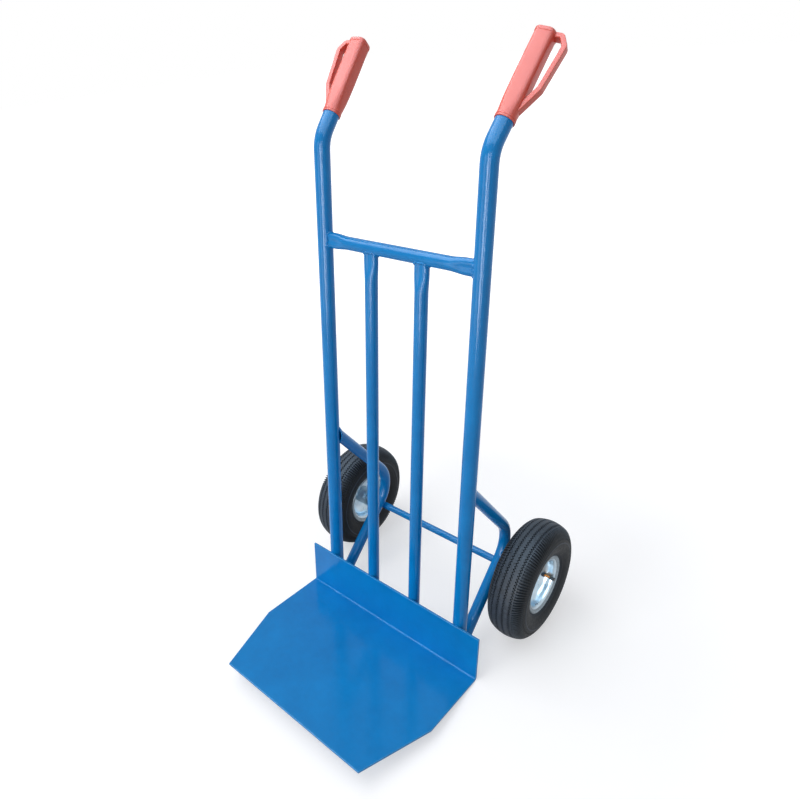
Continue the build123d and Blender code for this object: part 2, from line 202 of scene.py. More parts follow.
crossbar_half = []
for along, half, dent in press_stations(upright_x):
    ring = []
    for thick, wide in pressed_ring(half, dent):
        saddle = math.sqrt(upright_r ** 2 - thick ** 2) if along == 0 else upright_r
        x = upright_x - saddle - along if along < upright_x else 0
        ring.append((x, upright_y + thick, crossbar_z + wide))
    crossbar_half.append(ring)
crossbar_rings = crossbar_half + [[(-x, y, z) for x, y, z in ring] for ring in crossbar_half[-2::-1]]
crossbar_rings = [[stand @ (Vector(spot) * mm) for spot in ring] for ring in crossbar_rings]
crossbar_skin = skin(crossbar_rings, looped=False, capped=True)
crossbar = new_piece("crossbar_tube", *crossbar_skin, blue_enamel, "frame", "blue_paint")
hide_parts("upper_crossbar")

bar_length = crossbar_z - bar_r - tube_end
bar_rings = []
for along, half, dent in press_stations(bar_length):
    ring = []
    for thick, wide in pressed_ring(half, dent):
        saddle = math.sqrt(bar_r ** 2 - (bar_y + thick - upright_y) ** 2) if along == 0 else bar_r
        ring.append((inner_bar_x + wide, bar_y + thick, crossbar_z - saddle - along))
    bar_rings.append(ring)
for height in (tube_end, tube_end + open_bore):
    bar_rings.append([(inner_bar_x + wide, bar_y + thick, height)
                      for thick, wide in pressed_ring(bar_r - bar_wall, 0, bar_r - bar_wall)])
for side, out in (("right", 1), ("left", -1)):
    rings = [[stand @ (Vector((x * out, y, z)) * mm) for x, y, z in ring] for ring in bar_rings]
    bar_skin = skin(rings, looped=False, capped=True)
    bar = new_piece(side + "_inner_bar_tube", *bar_skin, blue_enamel, "frame", "blue_paint")
    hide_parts(side + "_inner_bar")

# Weld beads: arc welds round every joint of the frame, a row of small overlapping ripples,
# under the same blue enamel. They follow the lines where the tubes meet.
bead_radius = 2.2 * mm
ripple_pitch = 3.4 * mm
ripple_swell = 0.16
points_in_ripple = 4
fewest_points = 12
strut_x, strut_r = 172, 12.5
strut_top, strut_corner, strut_foot = Vector((19, 431)), Vector((213.5, 220.5)), Vector((19, 6))
strut_bite = 4
axle_r, axle_to_strut = 8, 17.5
saddle_bead_length = 50
flange_back, flange_top = 4, 110
seam_gap, seam_stop = 1.2, 2


def weld_line(curve, points, cyclic=True):
    """A rippled bead along points given in millimetres, square to the toe plate, on both sides."""
    for side in (1, -1):
        route = [stand @ (Vector((x * side, y, z)) * mm) for x, y, z in points]
        spline = curve.splines.new("POLY")
        spline.points.add(len(route) - 1)
        spline.use_cyclic_u = cyclic
        for i, (point, spot) in enumerate(zip(spline.points, route)):
            point.co = (*spot, 1)
            point.radius = 1 + ripple_swell * math.sin(2 * math.pi * i / points_in_ripple)


def turns(length):
    """Angles once round a bead of a length in millimetres, with points for each of its ripples."""
    count = max(fewest_points, round(length * mm / ripple_pitch) * points_in_ripple)
    return [2 * math.pi * i / count for i in range(count)]


weld_curve = bpy.data.curves.new("weld_beads", "CURVE")
weld_curve.dimensions = "3D"
weld_curve.bevel_depth = bead_radius
weld_curve.bevel_resolution = 2

crossbar_end = []
inner_bar_end = []
for across, along in pressed_ring(pressed_half, 0):
    inboard = upright_x - math.sqrt(upright_r ** 2 - across ** 2)
    crossbar_end.append((inboard, upright_y + across, crossbar_z + along))
    below = math.sqrt(bar_r ** 2 - (bar_y + across - upright_y) ** 2)
    inner_bar_end.append((inner_bar_x + along, bar_y + across, crossbar_z - below))
weld_line(weld_curve, crossbar_end)
weld_line(weld_curve, inner_bar_end)

for strut_end in (strut_top, strut_foot):
    run = (strut_corner - strut_end).normalized()
    edge = Vector((-run.y, run.x))
    ring = []
    for angle in turns(2 * math.pi * strut_r):
        x = strut_x + strut_r * math.cos(angle)
        reach = math.sqrt(max(upright_r ** 2 - (x - upright_x) ** 2, 0))
        y = upright_y + max(reach, upright_r - strut_bite)
        offset = strut_end + edge * strut_r * math.sin(angle)
        z = offset.y + (y - offset.x) * run.y / run.x
        ring.append((x, y, max(z, tube_end)))
    weld_line(weld_curve, ring)

leg = (strut_corner - strut_foot).normalized()
leg_back = Vector((leg.y, -leg.x))
axle_line = stand.inverted() @ Vector(frame["joints"][0]["pos_m"]) / mm
saddle = []
saddle_half = math.sqrt(axle_r ** 2 - (axle_to_strut - strut_r) ** 2)
for angle in turns(saddle_bead_length):
    t = saddle_half * math.sin(angle)
    height = axle_to_strut - math.sqrt(axle_r ** 2 - t ** 2)
    across = math.sqrt(max(strut_r ** 2 - height ** 2, 0)) * (1 if math.cos(angle) > 0 else -1)
    spot = Vector((axle_line.y, axle_line.z)) - leg_back * (axle_to_strut - height) + leg * t
    saddle.append((strut_x + across, spot.x, spot.y))
weld_line(weld_curve, saddle)

for tube_x, radius in ((upright_x, upright_r), (inner_bar_x, bar_r)):
    seam_x = math.sqrt(radius ** 2 - (radius - seam_gap) ** 2)
    count = round((flange_top - tube_end) * mm / ripple_pitch) * points_in_ripple
    for edge in (-1, 1):
        x, y = tube_x + edge * seam_x, flange_back + seam_gap / 2
        heights = [tube_end + (flange_top - seam_stop - tube_end) * i / count for i in range(count + 1)]
        weld_line(weld_curve, [(x, y, z) for z in heights], cyclic=False)

welds = bpy.data.objects.new("weld_beads", weld_curve)
bpy.context.scene.collection.objects.link(welds)
weld_curve.materials.append(blue_enamel)
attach(welds, "frame")

# Rim halves: each pressed from 2 mm steel sheet into a dish with a bead seat and a rolled lip,
# zinc plated and bolted back to back on the hub. The dish is one smooth bowl.
rim_sheet = 2.0
rim_route = [(2, 20), (2, 37), (12.5, 51), (31, 51.5), (31, 61), (33.5, 64.5)]
rim_bends = [22, 13, 7.5, 3]
bend_steps = 5
lip_inner_r = 57.5
round_steps = 96


def rounded_route(points, radii):
    """An outline through points, with an arc of the given radius at each corner between its ends."""
    route = [Vector(points[0])]
    for before, corner, after, radius in zip(points, points[1:], points[2:], radii):
        corner = Vector(corner)
        to_before = (Vector(before) - corner).normalized()
        to_after = (Vector(after) - corner).normalized()
        half_angle = to_before.angle(to_after) / 2
        tangent = radius / math.tan(half_angle)
        centre = corner + (to_before + to_after).normalized() * radius / math.sin(half_angle)
        start = corner + to_before * tangent - centre
        end = corner + to_after * tangent - centre
        sweep = start.angle_signed(end)
        for i in range(bend_steps + 1):
            turn = -sweep * i / bend_steps
            route.append(centre + Vector((start.x * math.cos(turn) - start.y * math.sin(turn),
                                          start.x * math.sin(turn) + start.y * math.cos(turn))))
    return route + [Vector(points[-1])]


def sheet_ring(route, thickness):
    """A closed outline of a bent sheet: the route, and the same route set back by the sheet's thickness."""
    back = []
    for i, spot in enumerate(route):
        run = (route[min(i + 1, len(route) - 1)] - route[max(i - 1, 0)]).normalized()
        back.append(spot + Vector((-run.y, run.x)) * thickness)
    return route + back[::-1]


def about_axle(side, outline, angle):
    """An outline of (place out from the wheel's middle, radius) in millimetres, at an angle round it."""
    centre = Vector(next(j["pos_m"] for j in frame["joints"] if j["child"] == side + "_wheel"))
    out = 1 if side == "right" else -1
    return [centre + Vector((x * out, r * math.cos(angle), r * math.sin(angle))) * mm for x, r in outline]


# Bright zinc plate with a blue passivate: a soft metal shine, clouded a little and finely grained.
# The grain is drawn coarser than it is, so that it shows.
zinc_plate, surface = new_material("blue_passivated_zinc_plate")
place = add_node(zinc_plate, "ShaderNodeTexCoord").outputs["Object"]
zinc_cloud = add_node(zinc_plate, "ShaderNodeTexNoise", {
    "Vector": place, "Scale": 1 / (14 * mm), "Detail": 4})
zinc_grain = add_node(zinc_plate, "ShaderNodeTexNoise", {
    "Vector": place, "Scale": 1 / (1.2 * mm), "Detail": 2})
zinc_colour = add_node(zinc_plate, "ShaderNodeMix", {
    0: zinc_cloud.outputs["Fac"], 6: linear("#93ADBE"), 7: linear("#C9D3D9")}, data_type="RGBA")
zinc_shine = add_node(zinc_plate, "ShaderNodeMapRange", {
    "Value": zinc_cloud.outputs["Fac"], "From Min": 0.3, "From Max": 0.7, "To Min": 0.26, "To Max": 0.36})
zinc_bump = add_node(zinc_plate, "ShaderNodeBump", {
    "Strength": 0.03, "Distance": 0.1 * mm, "Height": zinc_grain.outputs["Fac"]})
zinc_shader = add_node(zinc_plate, "ShaderNodeBsdfPrincipled", {
    "Base Color": zinc_colour.outputs[2], "Metallic": 1.0, "Roughness": zinc_shine.outputs["Result"],
    "Normal": zinc_bump.outputs["Normal"]})
zinc_plate.node_tree.links.new(zinc_shader.outputs["BSDF"], surface)

# The same plate on the rolled lips, scuffed dull by the tyre's beads and levers: greyer and rougher.
scuffed_zinc, surface = new_material("scuffed_zinc_plate")
place = add_node(scuffed_zinc, "ShaderNodeTexCoord").outputs["Object"]
scuffs = add_node(scuffed_zinc, "ShaderNodeTexNoise", {
    "Vector": place, "Scale": 1 / (5 * mm), "Detail": 6})
scuff_colour = add_node(scuffed_zinc, "ShaderNodeMix", {
    0: scuffs.outputs["Fac"], 6: linear("#566068"), 7: linear("#98A3AA")}, data_type="RGBA")
scuff_shader = add_node(scuffed_zinc, "ShaderNodeBsdfPrincipled", {
    "Base Color": scuff_colour.outputs[2], "Metallic": 1.0, "Roughness": 0.42})
scuffed_zinc.node_tree.links.new(scuff_shader.outputs["BSDF"], surface)

rim_face = rounded_route(rim_route, rim_bends)
for side in ("right", "left"):
    for half, facing in (("outer", 1), ("inner", -1)):
        outline = [(spot.x * facing, spot.y) for spot in sheet_ring(rim_face, rim_sheet)]
        rings = [about_axle(side, outline, 2 * math.pi * i / round_steps) for i in range(round_steps)]
        name = f"{side}_wheel_{half}_rim_half"
        rim_skin = skin(rings, looped=True)
        rim = new_piece(name + "_pressing", *rim_skin, zinc_plate, side + "_wheel", "zinc_plate")
        rim.data.materials.append(scuffed_zinc)
        for face in rim.data.polygons:
            from_axle = face.center - Vector(frame["joints"][0]["pos_m"])
            face.material_index = int(math.hypot(from_axle.y, from_axle.z) > lip_inner_r * mm)
        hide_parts(name)
    for piece in ("hub", "rim_bolts", "rim_nuts"):
        nodes[f"{side}_wheel_{piece}"].material_slots[0].material = zinc_plate

# Tyres: moulded black rubber, four plies, inflated on a tube. The tread has zigzag grooves between
# ribs, its shoulders are cut into a row of small lugs, and each flank carries two plain moulded rings.
tooth_count = 132
steps_in_tooth = 6
zigzag_reach = 2.1
groove_depth = 5
groove_half_width = 1.7
groove_section = ((-1.35, 0), (-1, 0), (-0.6, 1), (0.6, 1), (1, 0), (1.35, 0))
groove_places = (-19.5, -6.5, 6.5, 19.5)
crown_r, crown_bend = 130, 68.3
tread_half = 28
lug_depth = 4
lug_start = 24.2
lug_edge, lug_drop = 0.4, 0.2
lug_lean = (0.35, 0.95)
lug_end_r, lug_fade = 103, 12
flank_bend, flank_middle = 41.3, (1.2, 93)
flank_steps = 34
bead_lip_r = 65
flank_ring_r, bead_ring_r = 97, 71
ring_height, ring_half_width = 0.8, 1.8
tyre_inside = [(29.5, 64.5), (29.3, 60.5), (27, 56), (23, 53.8), (18.5, 53.5),
               (23.5, 64), (36, 93), (24, 118.5)]


def crown_radius(x):
    """The tread's radius at a distance from its middle, on a round crown."""
    return crown_r - crown_bend + math.sqrt(crown_bend ** 2 - x ** 2)


def tread_points(phase):
    """The tread's outline from shoulder to shoulder, at a phase from 0 to 1 through a tooth."""
    shift = zigzag_reach * (1 - 4 * abs(phase - 0.5))
    points = []
    for number, place in enumerate(groove_places):
        middle = place + (shift if number % 2 else -shift)
        for share, sunk in groove_section:
            across = middle + share * groove_half_width
            points.append((across, crown_radius(across) - groove_depth * sunk))
    return points


def flank_points(phase):
    """One flank from the last rib down to the bead, with the shoulder's lugs and the moulded rings."""
    notch = lug_depth if phase >= 0.5 else 0
    edge_r = crown_radius(lug_start)
    outline = [(lug_start, edge_r), (lug_start + lug_edge, edge_r - lug_drop - notch)]
    outline.append((tread_half - lug_lean[0] * notch, crown_radius(tread_half) - lug_lean[1] * notch))
    top = math.asin((crown_radius(tread_half) - flank_middle[1]) / flank_bend)
    bottom = -math.asin((flank_middle[1] - bead_lip_r) / flank_bend)
    for i in range(1, flank_steps + 1):
        angle = top + (bottom - top) * i / flank_steps
        x = flank_middle[0] + flank_bend * math.cos(angle)
        r = flank_middle[1] + flank_bend * math.sin(angle)
        depth = notch * min(1, max(0, (r - lug_end_r) / lug_fade))
        swell = sum(max(0, 1 - abs(r - ring) / ring_half_width) for ring in (flank_ring_r, bead_ring_r))
        reach = ring_height * swell - depth
        outline.append((x + reach * math.cos(angle), r + reach * math.sin(angle)))
    return outline


def tyre_outline(phase):
    """The closed outline of the tyre's section at a phase through a tooth."""
    right = flank_points(phase) + tyre_inside
    left = [(-x, r) for x, r in right]
    return left[::-1] + tread_points(phase) + right


# Tyre rubber, moulded and used: nearly black and dull on the flanks, with painted shade darkening them
# further, greyed by dust on the tread and on the raised rings, with a fine grain that is drawn coarser than
# it is, so that it shows.
tyre_rubber, surface = new_material("moulded_tyre_rubber")
place = add_node(tyre_rubber, "ShaderNodeTexCoord").outputs["Object"]
wheel_middle = [abs(share) for share in frame["joints"][0]["pos_m"]]
either_side = add_node(tyre_rubber, "ShaderNodeVectorMath", {0: place}, operation="ABSOLUTE")
from_middle = add_node(tyre_rubber, "ShaderNodeVectorMath", {
    0: either_side.outputs["Vector"], 1: wheel_middle}, operation="SUBTRACT")
spread = add_node(tyre_rubber, "ShaderNodeSeparateXYZ", {0: from_middle.outputs["Vector"]})
off_plane = add_node(tyre_rubber, "ShaderNodeMath", {0: spread.outputs["X"]}, operation="ABSOLUTE")
flat_spot = add_node(tyre_rubber, "ShaderNodeCombineXYZ", {
    "Y": spread.outputs["Y"], "Z": spread.outputs["Z"]})
radius = add_node(tyre_rubber, "ShaderNodeVectorMath", {
    0: flat_spot.outputs["Vector"]}, operation="LENGTH")
tread_dust_and_flank_shade = add_node(tyre_rubber, "ShaderNodeMapRange", {
    "Value": off_plane.outputs["Value"], "From Min": 26 * mm, "From Max": 38 * mm,
    "To Min": 1, "To Max": 0})
ring_wear = add_node(tyre_rubber, "ShaderNodeMath", {
    0: radius.outputs["Value"], 1: flank_ring_r * mm, 2: 1.1 * mm}, operation="COMPARE")
dust_and_flank_shade = add_node(tyre_rubber, "ShaderNodeMath", {
    0: tread_dust_and_flank_shade.outputs["Result"], 1: ring_wear.outputs["Value"]}, operation="MAXIMUM")
bloom = add_node(tyre_rubber, "ShaderNodeTexNoise", {
    "Vector": place, "Scale": 1 / (6 * mm), "Detail": 6})
rubber_grain = add_node(tyre_rubber, "ShaderNodeTexNoise", {
    "Vector": place, "Scale": 1 / (2 * mm), "Detail": 3})
# The flanks are darker than the rubber alone: painted shade there, while the tread and rings carry real
# dust.
flank_colour_with_painted_shade = add_node(tyre_rubber, "ShaderNodeMix", {
    0: bloom.outputs["Fac"], 6: linear("#050709"), 7: linear("#191E24")}, data_type="RGBA")
tread_colour = add_node(tyre_rubber, "ShaderNodeMix", {
    0: bloom.outputs["Fac"], 6: linear("#0B1016"), 7: linear("#434D59")}, data_type="RGBA")
rubber_colour = add_node(tyre_rubber, "ShaderNodeMix", {
    0: dust_and_flank_shade.outputs["Value"], 6: flank_colour_with_painted_shade.outputs[2], 7: tread_colour.outputs[2]}, data_type="RGBA")
rubber_dullness = add_node(tyre_rubber, "ShaderNodeMapRange", {
    "Value": bloom.outputs["Fac"], "From Min": 0.3, "From Max": 0.7, "To Min": 0.5, "To Max": 0.68})
rubber_bump = add_node(tyre_rubber, "ShaderNodeBump", {
    "Strength": 0.45, "Distance": 0.3 * mm, "Height": rubber_grain.outputs["Fac"]})
rubber_shader = add_node(tyre_rubber, "ShaderNodeBsdfPrincipled", {
    "Base Color": rubber_colour.outputs[2], "Roughness": rubber_dullness.outputs["Result"],
    "Normal": rubber_bump.outputs["Normal"], "IOR": 1.5, "Specular IOR Level": 0.2})
tyre_rubber.node_tree.links.new(rubber_shader.outputs["BSDF"], surface)

tyre_steps = tooth_count * steps_in_tooth
tooth_outlines = [tyre_outline(i / steps_in_tooth) for i in range(steps_in_tooth)]
for side in ("right", "left"):
    rings = [about_axle(side, tooth_outlines[i % steps_in_tooth], 2 * math.pi * i / tyre_steps)
             for i in range(tyre_steps)]
    name = side + "_wheel_tyre"
    tyre_skin = skin(rings, looped=True)
    tyre = new_piece(name + "_moulding", *tyre_skin, tyre_rubber, side + "_wheel", "tyre_rubber")
    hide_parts(name)

# Inner tubes and valves: a butyl tube inside each tyre, and its bent brass valve, which comes out
# through a rubber grommet in the dish and has a black plastic dust cap.
thread_pitch = 0.8
wave_repeat = 2 * math.pi / 20

# Drawn brass, dulled by handling: a brown metal, darker in patches where it has tarnished,
# with a fine rolled thread. Its wave pattern repeats every tenth of pi at a scale of 1.
valve_brass, surface = new_material("drawn_brass")
place = add_node(valve_brass, "ShaderNodeTexCoord").outputs["Object"]
tarnish = add_node(valve_brass, "ShaderNodeTexNoise", {
    "Vector": place, "Scale": 1 / (4 * mm), "Detail": 4})
brass_colour = add_node(valve_brass, "ShaderNodeMix", {
    0: tarnish.outputs["Fac"], 6: linear("#5E361A"), 7: linear("#A86F3C")}, data_type="RGBA")
screw_thread = add_node(valve_brass, "ShaderNodeTexWave", {
    "Vector": place, "Scale": wave_repeat / (thread_pitch * mm)})
thread_bump = add_node(valve_brass, "ShaderNodeBump", {
    "Strength": 0.6, "Distance": 0.3 * mm, "Height": screw_thread.outputs["Fac"]})
brass_shader = add_node(valve_brass, "ShaderNodeBsdfPrincipled", {
    "Base Color": brass_colour.outputs[2], "Metallic": 1.0, "Roughness": 0.4,
    "Normal": thread_bump.outputs["Normal"]})
valve_brass.node_tree.links.new(brass_shader.outputs["BSDF"], surface)

# Polyethylene, moulded black: a dull soft plastic, a little mottled by the grain of its mould,
# which is drawn coarser than it is, so that it shows.
black_plastic, surface = new_material("moulded_black_polyethylene")
place = add_node(black_plastic, "ShaderNodeTexCoord").outputs["Object"]
cap_grain = add_node(black_plastic, "ShaderNodeTexNoise", {
    "Vector": place, "Scale": 1 / (1.0 * mm), "Detail": 2})
cap_colour = add_node(black_plastic, "ShaderNodeMix", {
    0: cap_grain.outputs["Fac"], 6: linear("#15171A"), 7: linear("#24272B")}, data_type="RGBA")
cap_shader = add_node(black_plastic, "ShaderNodeBsdfPrincipled", {
    "Base Color": cap_colour.outputs[2], "Roughness": 0.42, "IOR": 1.5})
black_plastic.node_tree.links.new(cap_shader.outputs["BSDF"], surface)

for side in ("right", "left"):
    nodes[side + "_wheel_inner_tube"].material_slots[0].material = tyre_rubber
    nodes[side + "_wheel_valve_grommet"].material_slots[0].material = tyre_rubber
    nodes[side + "_wheel_valve_stem"].material_slots[0].material = valve_brass
    nodes[side + "_wheel_valve_cap"].material_slots[0].material = black_plastic

# Axle: a round steel bar, sprayed blue with the frame between its stop collars.
# Its ends were masked for the bearings and stay bare, with a turned chamfer.
axle_half, collar_x, axle_chamfer = 262.7, 190, 1
bare_overlap = 1
axle_points = 32
painted_run = [(-collar_x, axle_r), (collar_x, axle_r)]
bare_run = [(collar_x - bare_overlap, axle_r), (axle_half - axle_chamfer, axle_r),
            (axle_half, axle_r - axle_chamfer)]


def turned_bar(stations):
    """Points and faces of a bar on the axle's line, through (place along X, radius) stations."""
    middle = Vector((0, *frame["joints"][0]["pos_m"][1:]))
    turns_round = [2 * math.pi * i / axle_points for i in range(axle_points)]
    rings = [[middle + Vector((x, r * math.cos(a), r * math.sin(a))) * mm for a in turns_round]
             for x, r in stations]
    return skin(rings, looped=False, capped=True)


axle = new_piece("axle_painted_bar", *turned_bar(painted_run), blue_enamel, "frame", "blue_paint")
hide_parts("axle")
for side, out in (("right", 1), ("left", -1)):
    stations = [(x * out, r) for x, r in bare_run]
    new_piece(side + "_axle_bare_end", *turned_bar(stations), zinc_plate, "frame", "zinc_plate")

# Washers and split pins: zinc plated steel. Each pin is half-round wire folded on itself, with an eye
# on top of the axle, and its two ends are spread below so that it can't fall out.
wire_r = 0.8
wire_gap = 0.8
eye_r, eye_z, eye_foot_z = 3.2, 13.5, 9
eye_angles = [math.radians(angle) for angle in range(-340, 0, 20)]
pin_x = 257.7
leg_z, leg_bend, leg_spread, leg_tip_z = -9.5, 1, 6, -13
for name in ("inner_washers", "outer_washers"):
    nodes[name].material_slots[0].material = zinc_plate
pin_curve = bpy.data.curves.new("split_pin_wires", "CURVE")
pin_curve.dimensions = "3D"
pin_curve.bevel_depth = wire_r * mm
pin_curve.bevel_resolution = 3
eye = [(eye_r * math.sin(angle), eye_z - eye_r * math.cos(angle)) for angle in eye_angles]
half_pin = [(wire_gap + leg_spread, leg_tip_z), (wire_gap + leg_bend, leg_z - leg_bend / 2),
            (wire_gap, leg_z + leg_bend), (wire_gap, eye_foot_z)]
pin_route = half_pin + eye + [(-y, z) for y, z in reversed(half_pin)]
for out in (1, -1):
    wire = pin_curve.splines.new("POLY")
    wire.points.add(len(pin_route) - 1)
    for point, (y, z) in zip(wire.points, pin_route):
        point.co = (*(stand @ (Vector((pin_x * out, axle_line.y + y, axle_line.z + z)) * mm)), 1)
pin_curve.materials.append(zinc_plate)
pins = bpy.data.objects.new("split_pin_wires", pin_curve)
bpy.context.scene.collection.objects.link(pins)
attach(pins, "frame")
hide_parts("split_pins")

# Bearings: ground steel rings with a black rubber seal between them, pressed into the hub.
# The seal's middle and half width are shares of the bearing's diameter.
seal_middle, seal_half_width = 0.365, 0.065

# Ground bearing steel with a rubber seal: the seal is a dull black ring on the bearing's face,
# and the rings on both sides of it keep their grinding shine.
sealed_bearing, surface = new_material("ground_bearing_steel_with_rubber_seal")
share = add_node(sealed_bearing, "ShaderNodeTexCoord").outputs["Generated"]
from_middle = add_node(sealed_bearing, "ShaderNodeVectorMath", {
    0: share, 1: (0.5, 0.5, 0.5)}, operation="SUBTRACT")
across = add_node(sealed_bearing, "ShaderNodeVectorMath", {
    0: from_middle.outputs["Vector"], 1: (0, 1, 1)}, operation="MULTIPLY")
radius = add_node(sealed_bearing, "ShaderNodeVectorMath", {
    0: across.outputs["Vector"]}, operation="LENGTH")
seal = add_node(sealed_bearing, "ShaderNodeMath", {
    0: radius.outputs["Value"], 1: seal_middle, 2: seal_half_width}, operation="COMPARE")
ring_metal = add_node(sealed_bearing, "ShaderNodeMath", {
    0: 1.0, 1: seal.outputs["Value"]}, operation="SUBTRACT")
bearing_colour = add_node(sealed_bearing, "ShaderNodeMix", {
    0: seal.outputs["Value"], 6: linear("#8E949A"), 7: linear("#17191B")}, data_type="RGBA")
bearing_shader = add_node(sealed_bearing, "ShaderNodeBsdfPrincipled", {
    "Base Color": bearing_colour.outputs[2], "Metallic": ring_metal.outputs["Value"], "Roughness": 0.36})
sealed_bearing.node_tree.links.new(bearing_shader.outputs["BSDF"], surface)
nodes["wheel_bearings"].material_slots[0].material = sealed_bearing

# Grips: soft PVC, moulded in coral red and pushed over the tube ends. The body is squared, with two rings
# at its low end, a flange at its top, and a strap outside that guards the knuckles.
handle_bend_z = 1025
handle_angle = math.radians(36.9)
handle_splay = math.radians(5.5)
handle_length = 192
grip_length, cap_length = 150, 6
grip_half, grip_corner = 15.8, 7.4
grip_bore_r = 15.3
collar_r, groove_r = 17, 16.4
flange_half, flange_corner = 16.8, 10.5
guard_turns = {"right": math.radians(14), "left": math.radians(-8)}
guard_section = (4, 7.2)
guard_corner = 1.3
guard_route = [(12.5, 19.5), (30, 59.5), (37, 131.5), (27, 146.5), (12.5, 146.5)]
guard_bends = [10, 5, 5]
corner_steps = 6

# Soft PVC in coral red: a satin skin from the mould, a little see-through at its edges, with slight
# yellowing in patches and fine mould grain, which is drawn coarser than it is, so that it shows.
grip_vinyl, surface = new_material("moulded_coral_vinyl")
place = add_node(grip_vinyl, "ShaderNodeTexCoord").outputs["Object"]
vinyl_cloud = add_node(grip_vinyl, "ShaderNodeTexNoise", {
    "Vector": place, "Scale": 1 / (35 * mm), "Detail": 3})
vinyl_grain = add_node(grip_vinyl, "ShaderNodeTexNoise", {
    "Vector": place, "Scale": 1 / (1.0 * mm), "Detail": 2})
vinyl_colour = add_node(grip_vinyl, "ShaderNodeMix", {
    0: vinyl_cloud.outputs["Fac"], 6: linear("#CC4A38"), 7: linear("#D65945")}, data_type="RGBA")
vinyl_bump = add_node(grip_vinyl, "ShaderNodeBump", {
    "Strength": 0.05, "Distance": 0.1 * mm, "Height": vinyl_grain.outputs["Fac"]})
vinyl_shader = add_node(grip_vinyl, "ShaderNodeBsdfPrincipled", {
    "Base Color": vinyl_colour.outputs[2], "Roughness": 0.4, "Normal": vinyl_bump.outputs["Normal"],
    "IOR": 1.52, "Specular IOR Level": 0.36, "Subsurface Weight": 0.12,
    "Subsurface Radius": (3 * mm, 1.2 * mm, 0.8 * mm), "Subsurface Scale": 1.0})
grip_vinyl.node_tree.links.new(vinyl_shader.outputs["BSDF"], surface)


def squared_ring(half, corner, z, half_across=None):
    """A rounded square or rectangle at a height along the grip, or a circle where corner equals half."""
    half_across = half_across or half
    ring = []
    for quarter, (sx, sy) in enumerate(((1, 1), (-1, 1), (-1, -1), (1, -1))):
        for i in range(corner_steps + 1):
            angle = math.pi / 2 * (quarter + i / corner_steps)
            ring.append(Vector((sx * (half - corner) + corner * math.cos(angle),
                                sy * (half_across - corner) + corner * math.sin(angle), z)))
    return ring


def grip_mesh():
    """Points and faces of a grip along +Z from its low end, its strap towards +X.

    Each section is a height, a half width and a corner's radius: the collar with its rings, the body
    as it turns from round to square, and the flange with its rounded top.
    """
    sections = [
        (0, grip_bore_r, grip_bore_r), (0, groove_r, groove_r),
        (0.6, collar_r, collar_r), (2.7, collar_r, collar_r),
        (3.1, groove_r, groove_r), (3.7, groove_r, groove_r),
        (4.1, collar_r, collar_r), (6.3, collar_r, collar_r),
        (7, groove_r, groove_r), (10, 16.1, 15), (18, grip_half, 12),
        (30, grip_half, 9.6), (48, grip_half, 8.2), (70, grip_half, grip_corner),
        (142.6, grip_half, 8.6), (143.6, 16, 9),
        (144, flange_half, flange_corner), (148.6, flange_half, flange_corner),
        (149.6, 16.2, 10), (150, 15.2, 9.2), (150, 11, 6),
    ]
    body_rings = [squared_ring(half, corner, z) for z, half, corner in sections]
    points, faces = skin(body_rings, looped=False, capped=True)
    route = rounded_route(guard_route, guard_bends)
    section = squared_ring(guard_section[0], guard_corner, 0, guard_section[1])
    strap_rings = []
    for i, spot in enumerate(route):
        run = (route[min(i + 1, len(route) - 1)] - route[max(i - 1, 0)]).normalized()
        thick = Vector((run.y, 0, -run.x))
        strap_rings.append([Vector((spot.x, 0, spot.y)) + thick * s.x + Vector((0, s.y, 0))
                            for s in section])
    strap_points, strap_faces = skin(strap_rings, looped=False, capped=True)
    count = len(points)
    return points + strap_points, faces + [tuple(count + i for i in face) for face in strap_faces]


handle = Vector((math.sin(handle_angle) * math.sin(handle_splay),
                 math.sin(handle_angle) * math.cos(handle_splay), math.cos(handle_angle)))
outboard = (Vector((1, 0, 0)) - handle * handle.x).normalized()
handle_bend = Vector((upright_x, upright_y, handle_bend_z))
grip_foot = handle_bend + handle * (handle_length - grip_length + cap_length)
seat = Matrix((outboard, handle.cross(outboard), handle)).transposed().to_4x4()
seat.translation = grip_foot
grip_points, grip_faces = grip_mesh()
for side, out in (("right", 1), ("left", -1)):
    turned = seat @ Matrix.Rotation(guard_turns[side], 4, "Z")
    placed = [turned @ spot for spot in grip_points]
    placed = [stand @ (Vector((spot.x * out, spot.y, spot.z)) * mm) for spot in placed]
    grip = new_piece(side + "_grip_moulding", placed, grip_faces, grip_vinyl, "frame", "grip_plastic")
    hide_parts(side + "_grip")

# Floor: a plain pale studio floor of matt paper, laid flat under the plate's heel and the tyres.
# It is part of the stage, and keeps the truck's shadow.
floor_half = 15
floor_corners = [(-floor_half, -floor_half, 0), (floor_half, -floor_half, 0),
                 (floor_half, floor_half, 0), (-floor_half, floor_half, 0)]
floor_mesh = bpy.data.meshes.new("floor")
floor_mesh.from_pydata(floor_corners, [], [(0, 1, 2, 3)])
floor = bpy.data.objects.new("floor", floor_mesh)
bpy.context.scene.collection.objects.link(floor)

